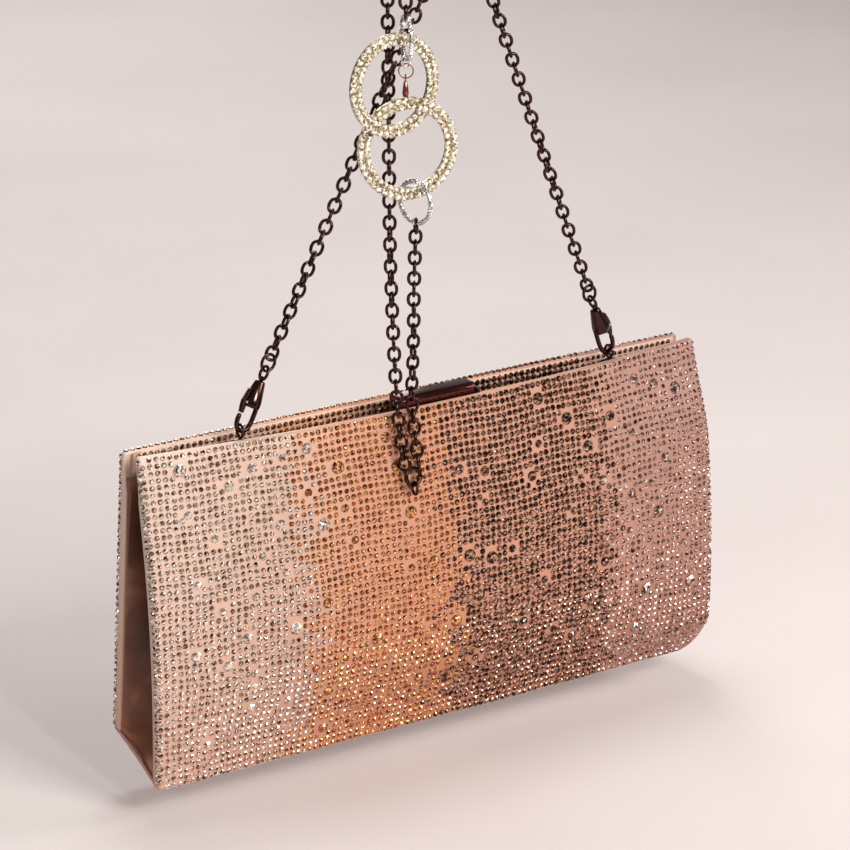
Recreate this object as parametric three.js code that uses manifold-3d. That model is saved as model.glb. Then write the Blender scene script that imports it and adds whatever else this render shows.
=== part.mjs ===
// An evening bag held up by its chain strap, in millimetres, +X to its right, +Y to its back, +Z up.
import * as THREE from "three";
import Module from "manifold-3d";

const { Manifold, Mesh: SolidMesh } = await (async () => {
  const library = await Module();
  library.setup();
  return library;
})();

// Driving sizes. Heights are above the front bottom edge until the whole bag is hung from its strap.
const bagLength = 275;
const bagHeight = 137.7;
const mouthDepth = 14;
const frontLean = 9.2;
const topBow = 11;
const middleBulge = 3.5;
const endBulge = 4.5;
const rightPuff = 5.8;
const backBulge = 4;
const halfLength = bagLength / 2;
const frontTopY = -mouthDepth / 2;
const backTop = { y: mouthDepth / 2, z: bagHeight - 0.8 };
const crease = { y: 17.9, z: 14.7 };
const gap = 0.3;

// The wall's layers, measured inwards from its outer face.
const shell = [0, 1.6];
const boardLayer = [1.9, 3.4];
const liningLayer = [3.7, 4.4];
const pocketLayer = [4.7, 5.3];
const bandLayer = [3.7, 5];

// Hardware.
const wire = 1.1;
const chainWidth = 6;
const eyeX = 91.4;
const eyeCentre = { y: -8.3, z: bagHeight + 3 };
const leftLean = 28;
const rightLean = -21.5;
const ringOuter = 21;
const ringInner = 15.4;
const ringThickness = 1.6;
const upperRingCentre = [-31, -28, 275.8];
const lowerRingCentre = [-25.2, -28.5, 249.7];
const upperRingTurn = 0;
const lowerRingTurn = -15;
const paveRadius = 8.4;
const upperPaveCentre = [-24.7, -27.5, 293.6];
const lowerPaveCentre = [-22.4, -30, 227.9];
const loopEndCentre = [-21.6, -27.3, 113];
const heldAt = [0, -16, 334];

// Routes of the strap's three stretches, by hand, following how the strap hangs.
const leftRoute = [
  [-76, -8.3, 169.9], [-64.6, -8.6, 191], [-53, -8.9, 213], [-41, -9.2, 235.6], [-29.3, -9.5, 258],
  [-17.5, -9.8, 280], [-6.5, -10, 301], [0.5, -10.2, 314], [2.5, -10.6, 322], [0, -11.8, 330],
  [-6, -13, 335.5], [-12.8, -14.2, 337.5], [-19.5, -15.4, 335.5], [-24.5, -16.4, 330],
  [-26.6, -16.8, 321], [-26.4, -17, 308], [-26.2, -17, 290], [-26, -17, 260], [-25.8, -17, 230],
  [-25.6, -17.4, 200], [-25.4, -19, 170], [-25.2, -20.8, 146], [-25.1, -21.7, 138],
  [-25, -23.1, 131], [-25, -24.8, 124], [-24.9, -26.1, 118.8],
];
const rightRoute = [
  [79.3, -8.3, 171.4], [71, -8.5, 192.5], [62.5, -8.8, 214], [54, -9.1, 235.5], [45.5, -9.4, 257],
  [37, -9.7, 278.5], [29, -10, 299], [23, -10.3, 315], [19, -11, 328], [12.5, -13, 339],
  [2, -16, 346.5], [-9, -20, 347.5], [-18, -24, 342], [-24, -27, 333], [-25.8, -28, 322],
  [-25.6, -28, 312], [-25, -27.6, 303.4],
];
const loopRoute = [
  [-21.8, -29.6, 218], [-21.2, -28, 205], [-20, -25.6, 190], [-19, -24, 175], [-18.3, -22.4, 160],
  [-18, -21.1, 146], [-18, -21.8, 138], [-18.1, -23.2, 131], [-18.2, -24.9, 124],
  [-18.3, -26.2, 118.8],
];

const bag = new THREE.Group();
const satin = { color: 0xd2a48c, roughness: 0.5, metalness: 0 };
const darkSatin = { color: 0x6e4534, roughness: 0.55, metalness: 0 };
const board = { color: 0x9a9488, roughness: 0.9, metalness: 0 };
const steel = { color: 0x9c9ca0, roughness: 0.4, metalness: 1 };
const gunmetal = { color: 0x2c1a18, roughness: 0.25, metalness: 1 };
const crystal = { color: 0xe6dcb8, roughness: 0.2, metalness: 0.3 };
const silver = { color: 0xd0cdc8, roughness: 0.2, metalness: 1 };
const copper = { color: 0xa86a58, roughness: 0.3, metalness: 1 };

function add(name, geometry, finish, position = [0, 0, 0], turn = [0, 0, 0]) {
  const mesh = new THREE.Mesh(geometry, new THREE.MeshStandardMaterial(finish));
  mesh.name = name;
  mesh.position.set(...position);
  mesh.rotation.set(...turn.map(THREE.MathUtils.degToRad));
  bag.add(mesh);
  return mesh;
}

// Outer faces of the two walls: the depth at a place along the bag and a share of the wall's height.
function frontFace(x, share) {
  const across = 1 - (x / halfLength) ** 2;
  const wave = Math.sin(Math.PI * share);
  const rise = THREE.MathUtils.smoothstep(share, 0, 0.35);
  const bow = (topBow * rise + middleBulge * wave) * across;
  const bulge = endBulge * wave + bow + puffAt(x, share);
  return [frontTopY - frontLean * (1 - share) - bulge, share * bagHeight];
}

function puffAt(x, share) {
  // The front wall's right end stands further forward, but for its foot and its top edge.
  const { smoothstep } = THREE.MathUtils;
  const upright = smoothstep(share, 0, 0.14) * smoothstep(1 - share, 0, 0.3);
  return rightPuff * smoothstep(x / halfLength, 0.3, 1) * upright;
}

function backFace(x, share) {
  const across = 1 - (x / halfLength) ** 2;
  const bow = backBulge * Math.sin(Math.PI * share) * across;
  const y = THREE.MathUtils.lerp(crease.y, backTop.y, share) + bow;
  return [y, THREE.MathUtils.lerp(crease.z, backTop.z, share)];
}

function closedGrid(point, columns, rows) {
  // point(i, j, side) gives a corner of the grid on the outer (0) or inner (1) side.
  const places = [];
  const faces = [];
  const index = (i, j, side) => (side * (rows + 1) + j) * (columns + 1) + i;
  for (const side of [0, 1]) {
    for (let j = 0; j <= rows; j++) {
      for (let i = 0; i <= columns; i++) places.push(...point(i, j, side));
    }
  }
  const quad = (a, b, c, d) => faces.push(a, b, c, a, c, d);
  for (let j = 0; j < rows; j++) {
    for (let i = 0; i < columns; i++) {
      quad(index(i, j, 0), index(i + 1, j, 0), index(i + 1, j + 1, 0), index(i, j + 1, 0));
      quad(index(i, j, 1), index(i, j + 1, 1), index(i + 1, j + 1, 1), index(i + 1, j, 1));
    }
  }
  for (let i = 0; i < columns; i++) {
    quad(index(i, 0, 0), index(i, 0, 1), index(i + 1, 0, 1), index(i + 1, 0, 0));
    quad(index(i, rows, 0), index(i + 1, rows, 0), index(i + 1, rows, 1), index(i, rows, 1));
  }
  for (let j = 0; j < rows; j++) {
    quad(index(0, j, 0), index(0, j + 1, 0), index(0, j + 1, 1), index(0, j, 1));
    const [low, high] = [j, j + 1].map((k) => [index(columns, k, 0), index(columns, k, 1)]);
    quad(low[0], low[1], high[1], high[0]);
  }
  return gridGeometry(places, faces);
}

function gridGeometry(places, faces) {
  const geometry = new THREE.BufferGeometry();
  geometry.setAttribute("position", new THREE.Float32BufferAttribute(places, 3));
  geometry.setIndex(faces);
  if (signedVolume(places, faces) < 0) {
    geometry.setIndex(faces.slice().reverse());
  }
  geometry.computeVertexNormals();
  return geometry;
}

function signedVolume(places, faces) {
  const corner = (k) => new THREE.Vector3().fromArray(places, 3 * k);
  let sum = 0;
  for (let k = 0; k < faces.length; k += 3) {
    sum += corner(faces[k]).dot(corner(faces[k + 1]).cross(corner(faces[k + 2])));
  }
  return sum;
}

// The walls are faceted along these lines, so that every layer of a wall keeps its gap to the next.
const xLines = Array.from({ length: 15 }, (_, k) => (k / 7 - 1) * halfLength);
const shareLines = [0, 0.07, 0.14, 0.22, 0.31, 0.42, 0.56, 0.7, 0.78, 0.86, 0.93, 1];

function span(lines, from, to) {
  const margin = 0.01 * (lines[1] - lines[0]);
  return [from, ...lines.filter((v) => v > from + margin && v < to - margin), to];
}

function facet(lines, value) {
  // The two lines around a value, and how far the value is from the first to the second.
  const k = Math.min(Math.max(lines.findLastIndex((v) => v <= value), 0), lines.length - 2);
  return [lines[k], lines[k + 1], (value - lines[k]) / (lines[k + 1] - lines[k])];
}

function faceted(face, x, share) {
  const [x0, x1, u] = facet(xLines, x);
  const [s0, s1, v] = facet(shareLines, share);
  const along = (s) => face(x0, s).map((c, k) => THREE.MathUtils.lerp(c, face(x1, s)[k], u));
  const low = along(s0);
  return along(s1).map((c, k) => THREE.MathUtils.lerp(low[k], c, v));
}

function wall(face, inward, xs, shares, layer) {
  // One layer of a wall between two places along the bag and two shares of its height.
  const places = span(xLines, ...xs);
  const levels = span(shareLines, ...shares);
  return closedGrid((i, j, side) => {
    const [y, z] = faceted(face, places[i], levels[j]);
    return [places[i], y + inward * layer[side], z];
  }, places.length - 1, levels.length - 1);
}

function frontShare(z) {
  return z / bagHeight;
}

function backShare(z) {
  return (z - crease.z) / (backTop.z - crease.z);
}

const frameBottom = 127;
const frameTop = 134.8;

const bandBottom = frameBottom + 1.5;
const bandTop = backTop.z - 0.4;
const pocket = { half: 70, bottom: 50, top: 104 };

function frontWall() {
  // The shares are the lowest and highest places of each layer on the wall.
  const top = frontShare(frameBottom - gap);
  const frameShares = [frameBottom, frameTop].map(frontShare);
  const layers = [
    ["front_panel", halfLength, [0, 1], shell, satin],
    ["front_board", halfLength - 2, [0.03, top], boardLayer, board],
    ["front_lining", halfLength - 3.5, [0.06, top], liningLayer, satin],
    ["front_frame", halfLength - 2, frameShares, boardLayer, steel],
  ];
  for (const [name, end, shares, layer, finish] of layers) {
    add(name, wall(frontFace, 1, [-end, end], shares, layer), finish);
  }
}

function backWall() {
  const top = backShare(frameBottom - gap);
  const layers = [
    ["back_panel", halfLength, [0.004, 1], shell, satin],
    ["back_board", halfLength - 2, [0.02, top], boardLayer, board],
    ["back_lining", halfLength - 3.5, [0.04, top], liningLayer, satin],
    ["back_frame", halfLength - 2, [frameBottom, frameTop].map(backShare), boardLayer, steel],
    ["back_band", halfLength - 3.5, [bandBottom, bandTop].map(backShare), bandLayer, satin],
    ["slip_pocket", pocket.half, [pocket.bottom, pocket.top].map(backShare), pocketLayer, satin],
  ];
  for (const [name, end, shares, layer, finish] of layers) {
    add(name, wall(backFace, -1, [-end, end], shares, layer), finish);
  }
}

function bindings() {
  // A satin strip along each side edge of each wall, where the gusset is sewn in.
  const inner = halfLength - 1.6;
  for (const [side, sign] of [["left", -1], ["right", 1]]) {
    const xs = [sign * inner, sign * halfLength].sort((a, b) => a - b);
    add(`front_binding_${side}`, wall(frontFace, 1, xs, [0.06, 0.99], boardLayer), satin);
    add(`back_binding_${side}`, wall(backFace, -1, xs, [0.03, 0.99], boardLayer), satin);
  }
}

// The side gussets: where a leaf starts behind its wall, and how far in it folds at foot and top.
const gusset = { start: 4.7, thickness: 0.6, low: 21, high: 126, lowFold: 12, highFold: 24 };

function gussets() {
  // Each side gusset folds inwards at its middle, and its two leaves are one piece each.
  const { start, thickness, low, high } = gusset;
  const endX = halfLength - 0.4;
  for (const [side, sign] of [["left", -1], ["right", 1]]) {
    for (const [name, face, share, inward] of [
      ["front", frontFace, frontShare, 1], ["back", backFace, backShare, -1],
    ]) {
      const cells = 3;
      const leaf = closedGrid((i, j, layer) => {
        const u = i / cells;
        const v = j / cells;
        const z = THREE.MathUtils.lerp(low, high, v);
        const fold = THREE.MathUtils.lerp(gusset.lowFold, gusset.highFold, v);
        const x = sign * (endX - fold * u);
        const end = sign * halfLength;
        const front = frontFace(end, frontShare(z))[0] + start + thickness;
        const back = backFace(end, backShare(z))[0] - start - thickness;
        const middle = (front + back) / 2 - inward * gap;
        const edge = face(end, share(z))[0] + inward * start;
        const y = THREE.MathUtils.lerp(edge, middle - inward * thickness, u);
        return [x, y + inward * thickness * layer, z];
      }, cells, cells);
      add(`gusset_${side}_${name}`, leaf, darkSatin);
    }
  }
}

function slab(name, outline, xs, finish) {
  // A solid with one outline across the bag, running between two places along it.
  const shape = new THREE.Shape(outline.map(([y, z]) => new THREE.Vector2(y, z)));
  add(name, alongX(shape, xs[1] - xs[0], xs[0]), finish);
}

function alongX(shape, length, start) {
  // Turns a shape drawn in (y, z) into a solid that runs along X.
  const options = { depth: length, bevelEnabled: false, curveSegments: 4 };
  const geometry = new THREE.ExtrudeGeometry(shape, options);
  const turn = new THREE.Matrix4().set(0, 0, 1, start, 1, 0, 0, 0, 0, 1, 0, 0, 0, 0, 0, 1);
  geometry.applyMatrix4(turn);
  return geometry;
}

function base() {
  // The base board slopes up from the front wall's foot to the crease under the back wall.
  const slope = crease.z / (crease.y - frontTopY + frontLean);
  const bottomAt = (y) => (y - frontTopY + frontLean) * slope;
  const from = frontTopY - frontLean + boardLayer[0];
  const to = crease.y - gap;
  const drop = 0.2;
  const tipY = to - 0.4;
  slab("base_panel", [
    [from, bottomAt(from)], [to, bottomAt(to) - drop],
    [tipY, bottomAt(tipY) - drop / 4], [from, bottomAt(from) + 1.4],
  ], [-halfLength, halfLength], satin);
  const boardFrom = from + 3.5;
  const boardTo = crease.y - 4;
  slab("base_board", [
    [boardFrom, bottomAt(boardFrom) + 1.8], [boardTo, bottomAt(boardTo) + 0.8],
    [boardTo, bottomAt(boardTo) + 2], [boardFrom, bottomAt(boardFrom) + 3.2],
  ], [-halfLength + 2, halfLength - 2], board);
}

function solidOf(geometry) {
  const plain = geometry.index ? geometry.toNonIndexed() : geometry;
  const places = Array.from(plain.getAttribute("position").array);
  const corners = Uint32Array.from({ length: places.length / 3 }, (_, k) => k);
  if (signedVolume(places, corners) < 0) corners.reverse();
  const mesh = new SolidMesh({
    numProp: 3,
    vertProperties: new Float32Array(places),
    triVerts: corners,
  });
  mesh.merge();
  return new Manifold(mesh);
}

function geometryOf(solid) {
  const mesh = solid.getMesh();
  const geometry = new THREE.BufferGeometry();
  geometry.setAttribute("position", new THREE.Float32BufferAttribute(mesh.vertProperties, 3));
  geometry.setIndex(Array.from(mesh.triVerts));
  geometry.computeVertexNormals();
  return geometry;
}

function box(size, centre, tilt = 0) {
  const geometry = new THREE.BoxGeometry(...size);
  geometry.rotateX(THREE.MathUtils.degToRad(tilt));
  geometry.translate(...centre);
  return geometry;
}

function hoop(mean, radius, around = 20, section = 6) {
  // A ring of round wire standing in the XZ plane.
  return new THREE.TorusGeometry(mean, radius, section, around).rotateX(Math.PI / 2);
}

function tube(route, width, steps) {
  const section = new THREE.Shape();
  section.absarc(0, 0, width / 2, 0, 2 * Math.PI);
  const points = route.map((p) => new THREE.Vector3(...p));
  const path = new THREE.CatmullRomCurve3(points, false, "centripetal");
  return new THREE.ExtrudeGeometry(section, { steps, curveSegments: 4, extrudePath: path });
}

// The clasp: a bar hinged on the front frame, whose magnets hold a tongue of the back frame.
const barHalf = 18.5;
const barFront = -14.5;
const barBack = -6.3;
const barBottom = 136.2;
const barTop = 142;
const pin = { y: -13, z: 137.6, radius: 0.6 };
const magnetX = 9;
const earWidth = 1.4;
const slopeFoot = [-11.3, 137.3];
const slopeHead = [barBack, 138.6];

function clasp() {
  const hole = new THREE.Path().absarc(pin.y, pin.z, pin.radius + gap, 0, 2 * Math.PI, true);
  const outline = new THREE.Shape([
    [barFront, barBottom], [slopeFoot[0], barBottom], slopeFoot, slopeHead, [barBack, barTop - 0.8],
    [barBack - 0.8, barTop], [barFront + 1.4, barTop], [barFront, barTop - 1.8],
  ].map((p) => new THREE.Vector2(...p)));
  outline.holes.push(hole);
  let bar = solidOf(alongX(outline, 2 * barHalf, -barHalf));
  const tilt = THREE.MathUtils.radToDeg(
    Math.atan2(slopeHead[1] - slopeFoot[1], slopeHead[0] - slopeFoot[0]));
  const magnetSize = [7, 3, 1.2];
  const pocketSize = magnetSize.map((s) => s + 2 * gap);
  for (const [side, x] of [["left", -magnetX], ["right", magnetX]]) {
    const seat = [x, -8.8, 138.75];
    bar = bar.subtract(solidOf(box(pocketSize, seat, tilt)));
    add(`clasp_magnet_${side}`, box(magnetSize, seat, tilt), steel);
  }
  add("clasp_bar", geometryOf(bar), gunmetal);
  const rod = new THREE.CylinderGeometry(pin.radius, pin.radius, 2 * barHalf + 3, 10);
  add("clasp_pin", rod, steel, [0, pin.y, pin.z], [0, 0, 90]);
  const earHole = new THREE.CylinderGeometry(pin.radius + gap, pin.radius + gap, 60, 10);
  earHole.rotateZ(Math.PI / 2).translate(0, pin.y, pin.z);
  const earX = barHalf + 0.4 + earWidth / 2;
  let holder = solidOf(box([2 * earX + earWidth, 1.2, 8.4], [0, barFront + 1, 130.5]));
  for (const side of [-1, 1]) {
    const ear = box([earWidth, 3.2, 6], [side * earX, pin.y - gap, pin.z - 1.3]);
    holder = holder.add(solidOf(ear));
  }
  add("clasp_base", geometryOf(holder.subtract(solidOf(earHole))), gunmetal);
  slab("clasp_tongue", [
    [-10.8, 136], [-6.2, 137.2], [-5.2, 137.2], [-2.5, 135], [1.6, 135], [1.6, 136.2], [-2, 136.2],
    [-4.5, 138.4], [-6, 138.35], [-10.8, 137.1],
  ], [-14, 14], steel);
}

const eye = { outer: 3, inner: 2.2, legHalf: 1, legFoot: 129 };

function eyes() {
  // A plate with a round hole on a flat leg beside the front frame.
  const { y, z } = eyeCentre;
  const outline = new THREE.Shape();
  outline.moveTo(y - eye.legHalf, eye.legFoot);
  outline.lineTo(y + eye.legHalf, eye.legFoot);
  outline.lineTo(y + eye.legHalf, z - 2.8);
  outline.absarc(y, z, eye.outer, -0.4 * Math.PI, 1.4 * Math.PI);
  outline.lineTo(y - eye.legHalf, z - 2.8);
  const hole = new THREE.Path();
  hole.absarc(y, z, eye.inner, 0, 2 * Math.PI, true);
  outline.holes.push(hole);
  add("eye_left", alongX(outline, wire, -eyeX - wire / 2), gunmetal);
  add("eye_right", alongX(outline, wire, eyeX - wire / 2), gunmetal);
}

// A snap hook in its own frame: the eye at the origin, the strap along +Z, the gate on +X.
const gatePivot = { x: 3.55, z: 11.6 };

function hookBody() {
  const bend = [
    [-3.2, 0, 13], [-3.3, 0, 8], [-3.3, 0, 4], [-2.5, 0, 1.2],
    [0, 0, 0], [2.5, 0, 1.2], [3.3, 0, 3.8], [3.3, 0, 6.2],
  ];
  const sleeve = new THREE.LatheGeometry([
    [0, 10.4], [3, 10.4], [3.4, 11.4], [3.4, 13], [2, 21], [0.95, 21], [0.95, 17.5], [0, 17.5],
  ].map((p) => new THREE.Vector2(...p)), 12).rotateX(Math.PI / 2);
  const cheeks = box([3.5, 3.6, 3.2], [2.9, 0, 11.9]);
  const slot = box([4.4, 2.4, 13], [3.5, 0, 11]);
  const pinHole = new THREE.CylinderGeometry(0.8, 0.8, 12, 10);
  pinHole.translate(gatePivot.x, 0, gatePivot.z);
  return solidOf(sleeve).add(solidOf(tube(bend, 2, 16))).add(solidOf(cheeks))
    .subtract(solidOf(slot)).subtract(solidOf(pinHole));
}

function gateLever() {
  // The lower arm closes the hook, and the ribbed upper arm lies along the sleeve.
  const ribs = 4;
  const ribFoot = 13.2;
  const pitch = 0.9;
  const outline = [[2.6, 7], [3.9, 7], [4.4, 9], [4.7, 11], [4.6, 12.4]];
  for (let k = 0; k < ribs; k++) {
    const z = ribFoot + k * pitch;
    const x = 4.4 - k * 0.18;
    outline.push([x - 0.2, z], [x + 0.1, z + 0.25], [x, z + 0.65]);
  }
  outline.push([3.5, 17], [2.6, 17], [2.7, 13.4], [2.5, 12]);
  const shape = new THREE.Shape(outline.map(([x, z]) => new THREE.Vector2(x, z)));
  const hole = new THREE.Path();
  hole.absarc(gatePivot.x, gatePivot.z, 0.8, 0, 2 * Math.PI, true);
  shape.holes.push(hole);
  const options = { depth: 1.8, bevelEnabled: false, curveSegments: 4 };
  const geometry = new THREE.ExtrudeGeometry(shape, options);
  return geometry.translate(0, 0, -options.depth / 2).rotateX(Math.PI / 2);
}

function snapHook(side, sign, lean) {
  const hook = new THREE.Group();
  hook.position.set(sign * eyeX, eyeCentre.y, eyeCentre.z);
  hook.rotation.set(0, THREE.MathUtils.degToRad(lean), 0);
  const turned = new THREE.Group();
  turned.rotation.z = sign < 0 ? Math.PI : 0;
  hook.add(turned);
  const put = (name, geometry, finish) => turned.add(add(`${name}_${side}`, geometry, finish));
  put("hook_body", geometryOf(hookBody()), gunmetal);
  put("gate_lever", gateLever(), gunmetal);
  const gatePin = new THREE.CylinderGeometry(0.5, 0.5, 3.8, 10);
  put("gate_pin", gatePin.translate(gatePivot.x, 0, gatePivot.z), steel);
  const stem = new THREE.CylinderGeometry(0.6, 0.6, 5, 8);
  stem.rotateX(Math.PI / 2).translate(0, 0, 20.4);
  const loop = hoop(2.5, wire / 2).rotateZ(Math.PI / 2).translate(0, 0, 25);
  put("swivel_loop", geometryOf(solidOf(stem).add(solidOf(loop))), gunmetal);
  put("end_ring", hoop(2.9, wire / 2).translate(0, 0, 29), gunmetal);
  bag.add(hook);
}

function crystalRing(name, centre, turn) {
  const outline = new THREE.Shape().absarc(0, 0, ringOuter, 0, 2 * Math.PI);
  outline.holes.push(new THREE.Path().absarc(0, 0, ringInner, 0, 2 * Math.PI, true));
  const options = { depth: ringThickness, bevelEnabled: false, curveSegments: 16 };
  const geometry = new THREE.ExtrudeGeometry(outline, options).translate(0, 0, -ringThickness / 2);
  add(name, geometry.rotateX(Math.PI / 2), crystal, centre, [0, 0, turn]);
}

function ornament() {
  crystalRing("crystal_ring_upper", upperRingCentre, upperRingTurn);
  crystalRing("crystal_ring_lower", lowerRingCentre, lowerRingTurn);
  add("pave_ring_upper", hoop(paveRadius, 0.8, 28), silver, upperPaveCentre, [0, 0, 68]);
  add("pave_ring_lower", hoop(paveRadius, 0.8, 28), silver, lowerPaveCentre, [0, 0, -80]);
  const [x, y, z] = upperPaveCentre;
  add("charm_link", hoop(2.5, 0.4, 16), silver, [x, y + 0.2, z - 9.15], [0, 0, 10]);
  add("jump_ring", hoop(2.85, 0.25, 20), copper, [x, y + 0.4, z - 13.25], [0, 0, -35]);
  const outline = new THREE.Shape();
  outline.moveTo(-0.9, -1.2);
  outline.lineTo(-1.1, -6);
  outline.lineTo(0, -8.4);
  outline.lineTo(1.1, -6);
  outline.lineTo(0.9, -1.2);
  outline.absarc(0, 0, 1.5, -0.3 * Math.PI, 1.3 * Math.PI);
  outline.holes.push(new THREE.Path().absarc(0, 0, 0.9, 0, 2 * Math.PI, true));
  const options = { depth: 1.2, bevelEnabled: false, curveSegments: 6 };
  const plate = new THREE.ExtrudeGeometry(outline, options);
  plate.translate(0, 0, -options.depth / 2).rotateX(Math.PI / 2);
  add("charm_clasp", plate, copper, [x, y + 0.7, z - 16], [0, 0, 55]);
}

function strap() {
  add("strap_left", tube(leftRoute, chainWidth, 42), gunmetal);
  add("strap_right", tube(rightRoute, chainWidth, 28), gunmetal);
  add("strap_loop", tube(loopRoute, chainWidth, 14), gunmetal);
  const lean = -13;
  add("loop_end_ring", hoop(3.7, 0.6), gunmetal, loopEndCentre, [lean, 0, 0]);
  const [x, y, z] = loopEndCentre;
  add("loop_end_link", hoop(2.6, 0.6, 16), gunmetal, [x, y - 1.06, z - 4.58], [lean, 0, 80]);
}

frontWall();
backWall();
bindings();
gussets();
base();
clasp();
eyes();
snapHook("left", -1, leftLean);
snapHook("right", 1, rightLean);
ornament();
strap();

const model = new THREE.Group();
bag.position.set(...heldAt.map((v) => -v));
model.add(bag);

export default model;
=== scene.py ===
"""The looks of an evening bag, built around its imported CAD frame. Lengths are in metres."""

import math

import bpy
import numpy as np
from mathutils import Matrix, Vector


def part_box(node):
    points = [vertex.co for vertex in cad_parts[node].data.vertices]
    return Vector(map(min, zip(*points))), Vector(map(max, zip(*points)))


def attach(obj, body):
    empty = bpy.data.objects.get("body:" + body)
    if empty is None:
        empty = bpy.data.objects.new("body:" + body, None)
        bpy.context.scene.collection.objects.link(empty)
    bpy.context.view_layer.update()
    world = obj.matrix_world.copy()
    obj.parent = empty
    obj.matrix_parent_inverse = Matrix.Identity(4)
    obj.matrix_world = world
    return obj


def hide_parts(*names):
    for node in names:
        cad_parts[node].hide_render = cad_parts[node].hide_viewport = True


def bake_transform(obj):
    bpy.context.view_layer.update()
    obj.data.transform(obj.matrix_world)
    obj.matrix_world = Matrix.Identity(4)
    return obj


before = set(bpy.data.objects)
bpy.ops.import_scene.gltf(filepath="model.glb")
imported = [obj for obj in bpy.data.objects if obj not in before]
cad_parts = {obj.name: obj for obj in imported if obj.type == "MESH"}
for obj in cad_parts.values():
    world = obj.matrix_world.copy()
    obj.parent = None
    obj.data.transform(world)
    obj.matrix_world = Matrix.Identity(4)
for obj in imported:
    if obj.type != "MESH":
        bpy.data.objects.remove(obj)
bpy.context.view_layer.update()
rng = np.random.default_rng(11)

# Places taken from the frame.
panel_low, panel_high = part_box("front_panel")
back_low, back_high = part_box("back_panel")
HALF = panel_high.x
FOOT = panel_low.z
HEIGHT = panel_high.z - FOOT
eye_low, eye_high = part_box("eye_right")
EYE = Vector(((eye_low.x + eye_high.x) / 2, (eye_low.y + eye_high.y) / 2, eye_high.z - 0.003))

# The walls: the same driving sizes as the frame's.
FRONT_TOP_Y = 0.009
FRONT_LEAN = 0.0092
TOP_BOW = 0.011
MIDDLE_BULGE = 0.0035
END_BULGE = 0.0045
RIGHT_PUFF = 0.0058
BACK_TOP_Y = 0.023
BACK_TOP_Z = back_high.z
CREASE_Y = 0.0339
CREASE_Z = back_low.z
BACK_BULGE = 0.004
WALL = 0.0044
LIP = 0.0032
RIM = 0.0013
FRONT_CORNERS = {(1, 0): 0.012, (-1, 0): 0.003, (1, 1): 0.0015, (-1, 1): 0.0015}
BACK_CORNERS = {(1, 0): 0.006, (-1, 0): 0.003, (1, 1): 0.0015, (-1, 1): 0.0015}

# The gussets, with how far in they fold at foot and top, and the pocket's depth behind the back's face.
GUSSET_TOP = FOOT + 0.1262
GUSSET_EDGE = HALF - 0.0012
GUSSET_FOLDS = (0.014, 0.026)
SEAM_INSET = 0.0037
POCKET_DEPTH = 0.005

# Stones.
PITCH = 0.00283
SIDE_MARGIN = 0.0014
TOP_MARGIN = 0.0012
FOOT_MARGIN = 0.0016
ZONES = ("clear", "gold", "dark", "rose")
ZONE_ENDS = (-0.070, -0.002, 0.080)
STONE_RADIUS = {"clear": 0.00112, "gold": 0.00112, "dark": 0.0013, "rose": 0.00102}
BIG_RADII = (0.0017, 0.0022, 0.0027)
BIG_STONES = 80

# The crystal rings. Each row: its radius, its shift in stones, the stones' radius and the beads' offsets.
RING_OUTER = 0.0205
RING_INNER = 0.0158
RING_HALF = 0.0007
RING_ROWS = (
    (0.0195, 0.0, 0.00147, (0.0009, -0.0010)),
    (0.0167, 0.5, 0.00127, (-0.0008, 0.0010)),
)
STONES_PER_ROW = 42
BEAD_RADIUS = 0.00034
UP = np.array((0.0, 0.0, 1.0))

# The chain.
CHAIN_PITCH = 0.0045
CHAIN_WIRE = 0.00142
LINK_LONG = 0.00278
LINK_WIDE = 0.00222
LINK_FACING = (-0.57, -0.82, 0.0)

LEFT_ROUTE = [
    (-0.0760, 0.0077, -0.1641), (-0.0646, 0.0074, -0.1430), (-0.0530, 0.0071, -0.1210),
    (-0.0410, 0.0068, -0.0984), (-0.0293, 0.0065, -0.0760), (-0.0175, 0.0062, -0.0540),
    (-0.0065, 0.0060, -0.0330), (0.0005, 0.0058, -0.0200), (0.0025, 0.0054, -0.0120),
    (0.0000, 0.0042, -0.0040), (-0.0060, 0.0030, 0.0015), (-0.0128, 0.0018, 0.0035),
    (-0.0195, 0.0006, 0.0015), (-0.0245, -0.0004, -0.0040), (-0.0266, -0.0008, -0.0130),
    (-0.0264, -0.0010, -0.0260), (-0.0262, -0.0010, -0.0440), (-0.0260, -0.0010, -0.0740),
    (-0.0258, -0.0010, -0.1040), (-0.0256, -0.0014, -0.1340), (-0.0254, -0.0030, -0.1640),
    (-0.0252, -0.0048, -0.1880), (-0.0251, -0.0057, -0.1960), (-0.0250, -0.0071, -0.2030),
    (-0.0250, -0.0088, -0.2100), (-0.0249, -0.0101, -0.2152),
]
RIGHT_ROUTE = [
    (0.0793, 0.0077, -0.1626), (0.0710, 0.0075, -0.1415), (0.0625, 0.0072, -0.1200),
    (0.0540, 0.0069, -0.0985), (0.0455, 0.0066, -0.0770), (0.0370, 0.0063, -0.0555),
    (0.0290, 0.0060, -0.0350), (0.0230, 0.0057, -0.0190), (0.0190, 0.0050, -0.0060),
    (0.0125, 0.0030, 0.0050), (0.0020, 0.0000, 0.0125), (-0.0090, -0.0040, 0.0135),
    (-0.0180, -0.0080, 0.0080), (-0.0240, -0.0110, -0.0010), (-0.0258, -0.0120, -0.0120),
    (-0.0256, -0.0120, -0.0220), (-0.0250, -0.0116, -0.0306),
]
LOOP_ROUTE = [
    (-0.0218, -0.0136, -0.1160), (-0.0212, -0.0120, -0.1290), (-0.0200, -0.0096, -0.1440),
    (-0.0190, -0.0080, -0.1590), (-0.0183, -0.0064, -0.1740), (-0.0180, -0.0051, -0.1880),
    (-0.0180, -0.0058, -0.1960), (-0.0181, -0.0072, -0.2030), (-0.0182, -0.0089, -0.2100),
    (-0.0183, -0.0102, -0.2152),
]


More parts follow.
